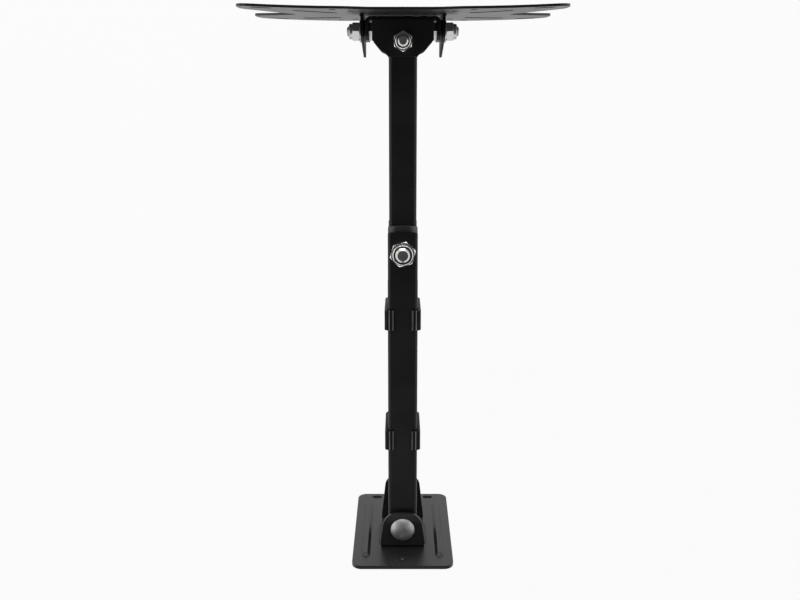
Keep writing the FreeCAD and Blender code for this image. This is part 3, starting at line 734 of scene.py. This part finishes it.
class ThreadedTip(NodeShape):
    """The threaded end of a bolt, standing on Z = 0, with a chamfered flat tip.

    Attributes:
        around: The number of steps round the thread.
        along: The number of rings along it, with one at each end to close it.
        row_gap: A share of the length that is less than one step along it.
        seam_gap: How close points are that are joined where the grid meets itself.
    """

    label = "threaded_tip"
    inputs = {name: InputKind.NUMBER for name in ("Crest", "Pitch", "Depth", "Length", "Chamfer")}
    around = 48
    along = 34
    row_gap = 0.001
    seam_gap = 0.001 * MM

    def wire(self, graph: Graph, given: Made) -> Socket:
        """Wrap a grid into a screw thread.

        Args:
            graph: The tree's graph.
            given: The node with the named inputs.

        Returns:
            The closed shape.
        """
        counts = {"Size X": 1.0, "Size Y": 1.0, "Vertices X": self.around + 1, "Vertices Y": self.along}
        grid = graph.node("GeometryNodeMeshGrid", None, counts)["Mesh"]
        position = graph.node("GeometryNodeInputPosition")["Position"]
        spot = graph.node("ShaderNodeSeparateXYZ", None, {"Vector": position})
        turn = spot["X"] + HALF
        run = spot["Y"] + HALF
        # The last two rings stand at one height, so the tip is flat
        rows = self.along - 1
        rise = graph.math("MINIMUM", run * (rows / (rows - 1)), 1.0) * given["Length"]
        tooth = abs(graph.math("FRACT", rise / given["Pitch"] - turn + 1.0) * 2.0 - 1.0)
        flank = given["Crest"] - given["Depth"] * tooth
        slope = given["Crest"] - graph.math("MAXIMUM", rise - given["Length"] + given["Chamfer"], 0.0)
        # The first and the last ring shrink to a point, which closes the ends
        inside = (run > self.row_gap) * (run < 1 - self.row_gap)
        radius = graph.math("MINIMUM", flank, slope) * inside
        angle = turn * (2 * math.pi)
        across = radius * graph.math("COSINE", angle)
        deep = radius * graph.math("SINE", angle)
        point = graph.node("ShaderNodeCombineXYZ", None, {"X": across, "Y": deep, "Z": rise})["Vector"]
        bent = graph.node("GeometryNodeSetPosition", None, {"Geometry": grid, "Position": point})["Geometry"]
        seam = {"Geometry": bent, "Distance": self.seam_gap}
        return graph.node("GeometryNodeMergeByDistance", None, seam)["Geometry"]


class WeldBead(NodeShape):
    """A rippled weld bead between two points.

    Attributes:
        around: The number of points round the bead.
        steps: The number of steps along one ripple.
        valley: The size between ripples, as a share of the radius.
        end_share: The share of the length over which each end tapers.
        end_size: The size at the very end, as a share of the radius.
    """

    label = "weld_bead"
    inputs = {
        "Start": InputKind.POINT,
        "End": InputKind.POINT,
        "Radius": InputKind.NUMBER,
        "Ripple": InputKind.NUMBER,
    }
    around = 14
    steps = 6
    valley = 0.84
    end_share = 0.08
    end_size = 0.45

    def wire(self, graph: Graph, given: Made) -> Socket:
        """Sweep a ring along a line, swelling at each ripple.

        Args:
            graph: The tree's graph.
            given: The node with the named inputs.

        Returns:
            The closed bead.
        """
        span = {"Start": given["Start"], "End": given["End"]}
        line = graph.node("GeometryNodeCurvePrimitiveLine", None, span)["Curve"]
        fine = {"Curve": line, "Length": given["Ripple"] / self.steps}
        path = graph.node("GeometryNodeResampleCurve", {"mode": "LENGTH"}, fine)["Curve"]
        along = graph.node("GeometryNodeSplineParameter")
        swell = abs(graph.math("SINE", along["Length"] / given["Ripple"] * math.pi))
        end = graph.math("MINIMUM", along["Factor"], 1.0 - along["Factor"])
        taper = graph.ranged(end, 0.0, self.end_share, self.end_size, 1.0)
        size = given["Radius"] * (self.valley + (1 - self.valley) * swell) * taper
        circle = {"Resolution": self.around, "Radius": 1.0}
        ring = graph.node("GeometryNodeCurvePrimitiveCircle", None, circle)["Curve"]
        sweep = {"Curve": path, "Profile Curve": ring, "Scale": size, "Fill Caps": True}
        return graph.node("GeometryNodeCurveToMesh", None, sweep)["Mesh"]


def reach(node: str, axis: Vector) -> float:
    """Give how far a CAD node reaches along an axis."""
    low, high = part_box(node)
    return max(axis.dot(low), axis.dot(high))


@dataclass(frozen=True)
class Thread:
    """The thread that shows at the end of a bolt.

    Attributes:
        bolt: The CAD node of the bolt.
        insert: The CAD node of the nylon ring that the bolt comes out of.
        size: The size of the thread.
        axes: The directions in which threaded ends stand out.
        tooth_share: The height of a tooth, as a share of the pitch.
        chamfer_share: The width of the sloping ring round the tip, as a share of the radius.
        sunk: How deep in the ring the thread starts.
    """

    bolt: str
    insert: str
    size: Metric
    axes: tuple[Triple, ...]
    tooth_share: float = 0.55
    chamfer_share: float = 0.3
    sunk: float = 0.5 * MM

    def start(self, axis: Vector) -> float:
        """Give how far out along an axis a threaded end starts."""
        return reach(self.insert, axis) - self.sunk

    def root(self, axis: Vector) -> Vector:
        """Find the point where a threaded end starts.

        Args:
            axis: The direction in which the end stands out.

        Returns:
            A point on the bolt's centreline, just inside the nut.
        """
        low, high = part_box(self.bolt)
        middle = (low + high) / 2
        return middle - axis * axis.dot(middle) + axis * self.start(axis)

    def sizes(self, axis: Vector) -> dict[str, float]:
        """Work out the sizes of a threaded end.

        Args:
            axis: The direction in which the end stands out.

        Returns:
            The inputs of the threaded tip.
        """
        radius, pitch = self.size.value
        return {
            "crest": radius,
            "pitch": pitch,
            "depth": self.tooth_share * pitch,
            "length": reach(self.bolt, axis) - self.start(axis),
            "chamfer": self.chamfer_share * radius,
        }


@dataclass
class SubAssembly:
    """Pieces that move together as one body.

    Attributes:
        wardrobe: The finishes of the mount.
        tip: The shape of a bolt's threaded end.
        bead: The shape of a weld bead.
        pieces: The finished pieces, in the order they were made.
        body: The body that the pieces ride on.
        weld_ripple: The length of one ripple of a weld bead.
    """

    wardrobe: Wardrobe
    tip: ThreadedTip
    bead: WeldBead
    pieces: list[bpy.types.Object] = field(default_factory=list)
    body: Body = Body.WALL
    weld_ripple: float = 1.3 * MM

    def build(self) -> None:
        """Make every piece of the sub-assembly."""
        raise NotImplementedError

    def merged(self, node: str) -> bmesh.types.BMesh:
        """Copy a CAD node and join its loose triangles into whole faces.

        Args:
            node: The CAD node's name.

        Returns:
            The joined copy, to be freed by the caller.
        """
        solid = bmesh.new()
        solid.from_mesh(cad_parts[node].data)
        bmesh.ops.remove_doubles(solid, verts=solid.verts, dist=MERGE_DISTANCE)
        bmesh.ops.dissolve_limit(solid, angle_limit=FLAT_ANGLE, verts=solid.verts, edges=solid.edges)
        solid.normal_update()
        return solid

    def placed(self, name: str, solid: bmesh.types.BMesh, *finishes: bpy.types.Material) -> bpy.types.Object:
        """Put a solid into the scene.

        Args:
            name: The piece's name.
            solid: The solid, which is freed here.
            finishes: The materials that its faces choose from.

        Returns:
            The piece.
        """
        mesh = bpy.data.meshes.new(name)
        solid.to_mesh(mesh)
        solid.free()
        for finish in finishes:
            mesh.materials.append(finish)
        piece = bpy.data.objects.new(name, mesh)
        bpy.context.scene.collection.objects.link(piece)
        return piece

    def rounded(self, name: str, solid: bmesh.types.BMesh, edge: float, dress: Dress) -> bpy.types.Object:
        """Round a solid's edges and make it a piece.

        Args:
            name: The piece's name.
            solid: The joined copy of a CAD node, which is freed here.
            edge: The radius of its edges.
            dress: What it wears.

        Returns:
            The piece, with no modifier left on it.
        """
        # Where a dress is crowned, faces that look up take the edge material: a darker painted shade on the
        # plates, paler painted highlight bands on the clips
        for part in solid.faces:
            part.smooth = True
            part.material_index = EDGE_MATERIAL if dress.crowned and part.normal.z > UPWARD else 0
        for seam in solid.edges:
            seam.smooth = True
        piece = self.placed(name, solid, dress.face, dress.edge)
        stored = piece.data.attributes.get("custom_normal")
        if stored:
            piece.data.attributes.remove(stored)
        bevel = piece.modifiers.new("edges", "BEVEL")
        bevel.width = edge
        bevel.segments = EDGE_STEPS
        bevel.limit_method = "ANGLE"
        bevel.angle_limit = EDGE_ANGLE
        # Rounded edges take the edge material: paler on the tubes and the zinc, partly as a painted
        # highlight, and darker on the sheet and the plates as painted shade
        bevel.material = EDGE_MATERIAL
        piece.modifiers.new("flats", "WEIGHTED_NORMAL")
        graph = bpy.context.evaluated_depsgraph_get()
        plain = bpy.data.meshes.new_from_object(piece.evaluated_get(graph), depsgraph=graph)
        piece.modifiers.clear()
        piece.data = plain
        return piece

    def joined(self, name: str, meshes: Sequence[bpy.types.Mesh], dress: Dress) -> bpy.types.Object:
        """Join meshes into a piece.

        Args:
            name: The piece's name.
            meshes: The meshes, already in place.
            dress: What they wear.

        Returns:
            The joined piece.
        """
        whole = bmesh.new()
        for mesh in meshes:
            whole.from_mesh(mesh)
        return self.placed(name, whole, dress.face)

    def mounted(self, piece: bpy.types.Object, dress: Dress, *nodes: str) -> None:
        """Let a piece ride on its body.

        Args:
            piece: The piece.
            dress: What it wears; not used.
            nodes: The CAD nodes that it stands for.
        """
        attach(piece, self.body.value)
        if nodes:
            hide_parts(*nodes)
        self.pieces.append(piece)

    def finish(self, node: str, edge: float, dress: Dress) -> None:
        """Make the finished copy of one CAD node, with edges of the given radius."""
        self.mounted(self.rounded(f"{node}_finished", self.merged(node), edge, dress), dress, node)

    def threaded(self, thread: Thread, edge: float, dress: Dress) -> None:
        """Make a bolt whose exposed ends carry a real thread.

        Args:
            thread: The bolt's thread.
            edge: The radius of the bolt's edges.
            dress: What the bolt wears.
        """
        solid = self.merged(thread.bolt)
        tips = []
        for direction in thread.axes:
            axis = Vector(direction)
            root = thread.root(axis)
            whole = solid.verts[:] + solid.edges[:] + solid.faces[:]
            cut = bmesh.ops.bisect_plane(solid, geom=whole, plane_co=root, plane_no=axis, clear_outer=True)
            rim = [part for part in cut["geom_cut"] if isinstance(part, bmesh.types.BMEdge)]
            bmesh.ops.edgeloop_fill(solid, edges=rim)
            tip = self.tip.mesh(dress.face, **thread.sizes(axis))
            turn = Vector(UP).rotation_difference(axis).to_matrix().to_4x4()
            tip.transform(Matrix.Translation(root) @ turn)
            tips.append(tip)
        self.mounted(self.rounded(f"{thread.bolt}_finished", solid, edge, dress), dress, thread.bolt)
        ends = self.joined(f"{thread.bolt}_thread", tips, dress)
        ends.data.set_sharp_from_angle(angle=SHARP_ANGLE)
        self.mounted(ends, dress)

    def welded(self, name: str, lines: Sequence[tuple[Vector, Vector]], radius: float) -> None:
        """Make painted weld beads along straight joints.

        Args:
            name: The piece's name.
            lines: The two ends of each bead.
            radius: The radius of a bead.
        """
        dress = self.wardrobe.sheet
        sizes = {"radius": radius, "ripple": self.weld_ripple}
        beads = [self.bead.mesh(dress.face, start=start, end=end, **sizes) for start, end in lines]
        self.mounted(self.joined(name, beads, dress), dress)


@dataclass
class WallBracket(SubAssembly):
    """The plate on the wall with its clevis and pivot bolt.

    Attributes:
        plate_edge: The radius of the plate's edges.
        clevis_edge: The radius of the clevis's edges.
        fastener_edge: The radius of the edges of the bolt, its nut and the washers.
        weld_radius: The radius of a weld bead.
        weld_inset: How far each weld ends from the clevis's top and bottom.
    """

    body: Body = Body.WALL
    plate_edge: float = 0.6 * MM
    clevis_edge: float = 0.5 * MM
    fastener_edge: float = 0.2 * MM
    weld_radius: float = 1.6 * MM
    weld_inset: float = 7 * MM

    def build(self) -> None:
        """Make the plate, the clevis, their welds and the pivot."""
        wear = self.wardrobe
        self.finish("wall_plate", self.plate_edge, wear.plate)
        self.finish("wall_clevis", self.clevis_edge, wear.sheet)
        low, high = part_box("wall_clevis")
        top = high.z - self.weld_inset
        lines = [(Vector((x, high.y, -top)), Vector((x, high.y, top))) for x in (low.x, high.x)]
        self.welded("clevis_welds", lines, self.weld_radius)
        pivot = Thread("wall_pivot_bolt", "wall_nut_insert", Metric.M8, (DOWN,))
        self.threaded(pivot, self.fastener_edge, wear.dull_zinc)
        self.finish("wall_pivot_nut", self.fastener_edge, wear.zinc)
        for node in ("wall_nut_insert", "wall_friction_washers"):
            self.finish(node, self.fastener_edge, wear.nylon)


@dataclass
class LongArm(SubAssembly):
    """The long tube with its fork, elbow bolt and cable clips.

    Attributes:
        tube_edge: The radius of the tube's edges.
        clip_edge: The radius of the clips' edges.
        fastener_edge: The radius of the edges of the bolt, its nut and the liners.
    """

    body: Body = Body.LONG_ARM
    tube_edge: float = 0.4 * MM
    clip_edge: float = 0.45 * MM
    fastener_edge: float = 0.25 * MM

    def build(self) -> None:
        """Make the tube, the elbow and both clips."""
        wear = self.wardrobe
        self.finish("wall_arm", self.tube_edge, wear.tube)
        self.finish("elbow_liners", self.fastener_edge, wear.liner)
        elbow = Thread("elbow_bolt", "elbow_nut_insert", Metric.M12, (UP,))
        self.threaded(elbow, self.fastener_edge, wear.zinc)
        self.finish("elbow_nut", self.fastener_edge, wear.zinc)
        self.finish("elbow_nut_insert", self.fastener_edge, wear.nylon)
        for node in ("cable_clip_outer", "cable_clip_inner"):
            self.finish(node, self.clip_edge, wear.clip)


@dataclass
class ShortArm(SubAssembly):
    """The short tube between the elbow and the swivel head.

    Attributes:
        tube_edge: The radius of the tube's edges.
    """

    body: Body = Body.SHORT_ARM
    tube_edge: float = 0.4 * MM

    def build(self) -> None:
        """Make the tube."""
        self.finish("forearm", self.tube_edge, self.wardrobe.tube)


@dataclass
class SwivelHead(SubAssembly):
    """The folded head with its pivot bolt and tilt bolts.

    Attributes:
        sheet_edge: The radius of the folded sheet's edges.
        fastener_edge: The radius of the edges of bolts, nuts and washers.
    """

    body: Body = Body.HEAD
    sheet_edge: float = 0.4 * MM
    fastener_edge: float = 0.2 * MM

    def build(self) -> None:
        """Make the folded sheet, the pivot and both tilt joints."""
        wear = self.wardrobe
        self.finish("head_bracket", self.sheet_edge, wear.tube)
        pivot = Thread("head_pivot_bolt", "head_nut_insert", Metric.M8, (UP,))
        self.threaded(pivot, self.fastener_edge, wear.zinc)
        tilt = Thread("tilt_bolts", "tilt_nut_inserts", Metric.M8, SIDEWAYS)
        self.threaded(tilt, self.fastener_edge, wear.tilt_zinc)
        self.finish("head_pivot_nut", self.fastener_edge, wear.zinc)
        for node in ("tilt_nuts", "tilt_washers"):
            self.finish(node, self.fastener_edge, wear.tilt_zinc)
        for node in ("head_nut_insert", "head_friction_washers", "tilt_friction_washers", "tilt_nut_inserts"):
            self.finish(node, self.fastener_edge, wear.nylon)


@dataclass
class ScreenPlate(SubAssembly):
    """The plate on the screen with its two tilt lugs.

    Attributes:
        sheet_edge: The radius of the edges of the plate and the lugs.
        weld_radius: The radius of a weld bead.
        weld_length: The length of a stitch weld.
        weld_inset: How far each weld ends from the lug's top or bottom.
    """

    body: Body = Body.SCREEN_PLATE
    sheet_edge: float = 0.45 * MM
    weld_radius: float = 1.4 * MM
    weld_length: float = 18 * MM
    weld_inset: float = 6 * MM

    def build(self) -> None:
        """Make the plate, the lugs and their stitch welds."""
        wear = self.wardrobe
        self.finish("vesa_plate", self.sheet_edge, wear.plate)
        lines = []
        for node in ("tilt_lug_left", "tilt_lug_right"):
            self.finish(node, self.sheet_edge, wear.lug)
            low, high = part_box(node)
            outside = low.x if low.x < 0 else high.x
            for start in (low.z + self.weld_inset, high.z - self.weld_inset - self.weld_length):
                base = Vector((outside, low.y, start))
                lines.append((base, base + Vector((0, 0, self.weld_length))))
        self.welded("lug_welds", lines, self.weld_radius)


@dataclass(frozen=True)
class Lamp:
    """A soft box.

    Attributes:
        name: The lamp's name.
        place: Where it stands.
        size: The length of its two sides.
        power: Its power, in watts.
    """

    name: str
    place: Vector
    size: tuple[float, float]
    power: float

    def hang(self, aim: Vector) -> None:
        """Put the lamp into the scene.

        Args:
            aim: What it points at.
        """
        data = bpy.data.lights.new(self.name, "AREA")
        data.shape = "RECTANGLE"
        data.size, data.size_y = self.size
        data.energy = self.power
        lamp = bpy.data.objects.new(self.name, data)
        lamp.location = self.place
        lamp.rotation_mode = "QUATERNION"
        lamp.rotation_quaternion = (aim - self.place).to_track_quat("-Z", "Y")
        bpy.context.scene.collection.objects.link(lamp)


@dataclass(frozen=True)
class Studio:
    """A white studio with a dim ceiling, seen from above the arm.

    Attributes:
        eye: Where the camera stands.
        lean: How far it leans from straight down towards the wall, in radians.
        lens: The focal length, in millimetres.
        sensor: The width of the camera's sensor, in millimetres.
        nearest: How close to the camera things are still seen.
        floor_level: The height of the floor.
        floor_size: The length of the floor's side.
        floor_colour: The floor's own colour.
        floor_glow: The share of plain white in the floor as it is seen.
        walls: How bright the walls are.
        ceiling: How bright the ceiling is.
        fade: Between which heights the walls turn into ceiling, from 0 at the horizon to 1 overhead.
        aim: What the lamps point at.
        lamps: The lamps, on the screen's side, the wall's side, the left and the right of the picture.
    """

    eye: Vector = Vector((0.0022, -0.3857, 0.6882))
    lean: float = 0.2431
    lens: float = 38.79
    sensor: float = 36
    nearest: float = 0.01
    floor_level: float = -0.32
    floor_size: float = 12.0
    floor_colour: Colour = (0.9, 0.9, 0.9, 1)
    floor_glow: float = 0.9
    walls: float = 0.75
    ceiling: float = 0.05
    fade: tuple[float, float] = (0.1, 0.65)
    aim: Vector = Vector((0, -0.22, 0))
    lamps: tuple[Lamp, ...] = (
        Lamp("screen_side_box", place=Vector((0, -1.9, 0.85)), size=(1.8, 0.9), power=18),
        Lamp("wall_side_box", place=Vector((0, 1.2, 0.95)), size=(1.8, 0.9), power=9),
        Lamp("left_box", place=Vector((1.3, -0.22, 0.82)), size=(1.6, 0.6), power=7),
        Lamp("right_box", place=Vector((-1.3, -0.22, 0.82)), size=(1.6, 0.6), power=5),
    )

    def set_up(self) -> None:
        """Make the camera, the room and the lamps."""
        self.camera()
        self.floor()
        self.room()
        for lamp in self.lamps:
            lamp.hang(self.aim)
        bpy.context.scene.view_settings.view_transform = "Standard"

    def camera(self) -> None:
        """Put the camera where the photograph was taken from."""
        data = bpy.data.cameras.new("camera")
        data.sensor_fit = "HORIZONTAL"
        data.sensor_width = self.sensor
        data.lens = self.lens
        data.clip_start = self.nearest
        camera = bpy.data.objects.new("camera", data)
        up = Vector((0, -math.cos(self.lean), -math.sin(self.lean)))
        back = Vector((0, -math.sin(self.lean), math.cos(self.lean)))
        across = up.cross(back)
        turn = Matrix((across, up, back)).transposed().to_4x4()
        camera.matrix_world = Matrix.Translation(self.eye) @ turn
        bpy.context.scene.collection.objects.link(camera)
        bpy.context.scene.camera = camera

    def floor(self) -> None:
        """Lay a pale floor that keeps a soft shadow."""
        half = self.floor_size / 2
        square = ((-half, -half), (half, -half), (half, half), (-half, half))
        mesh = bpy.data.meshes.new("floor")
        mesh.from_pydata([(x, y, self.floor_level) for x, y in square], [], [(0, 1, 2, 3)])
        made = bpy.data.materials.new("floor")
        made.use_nodes = True
        graph = Graph(made.node_tree)
        card = graph.node("ShaderNodeBsdfDiffuse", None, {"Color": self.floor_colour})["BSDF"]
        glow = graph.node("ShaderNodeEmission", None, {"Color": WHITE, "Strength": 1.0})["Emission"]
        path = graph.node("ShaderNodeLightPath")
        seen = graph.math("MAXIMUM", path["Is Camera Ray"], path["Is Glossy Ray"])
        share = graph.math("MAXIMUM", seen, path["Is Transmission Ray"]) * self.floor_glow
        surface = graph.node("ShaderNodeMixShader", None, {0: share, 1: card, 2: glow})["Shader"]
        graph.node("ShaderNodeOutputMaterial", None, {"Surface": surface})
        mesh.materials.append(made)
        floor = bpy.data.objects.new("floor", mesh)
        bpy.context.scene.collection.objects.link(floor)

    def room(self) -> None:
        """Make white walls that fade to a dim ceiling."""
        world = bpy.data.worlds.new("studio")
        world.use_nodes = True
        graph = Graph(world.node_tree)
        direction = graph.node("ShaderNodeTexCoord")["Generated"]
        height = graph.node("ShaderNodeSeparateXYZ", None, {"Vector": direction})["Z"]
        light = graph.ranged(height, *self.fade, self.walls, self.ceiling)
        room = graph.node("ShaderNodeBackground", None, {"Color": WHITE, "Strength": light})
        graph.node("ShaderNodeOutputWorld", None, {"Surface": room["Background"]})
        bpy.context.scene.world = world


def main() -> None:
    """Build the sub-assemblies in order, from the wall to the screen."""
    logging.basicConfig(level=logging.INFO, format="%(name)s: %(message)s")
    wardrobe = Wardrobe.made()
    tip = ThreadedTip()
    bead = WeldBead()
    for kind in (WallBracket, LongArm, ShortArm, SwivelHead, ScreenPlate):
        part = kind(wardrobe, tip, bead)
        part.build()
        for piece in part.pieces:
            LOG.info("%s rides on %s, %d faces", piece.name, part.body.value, len(piece.data.polygons))
    Studio().set_up()


if __name__ == "__main__":
    main()
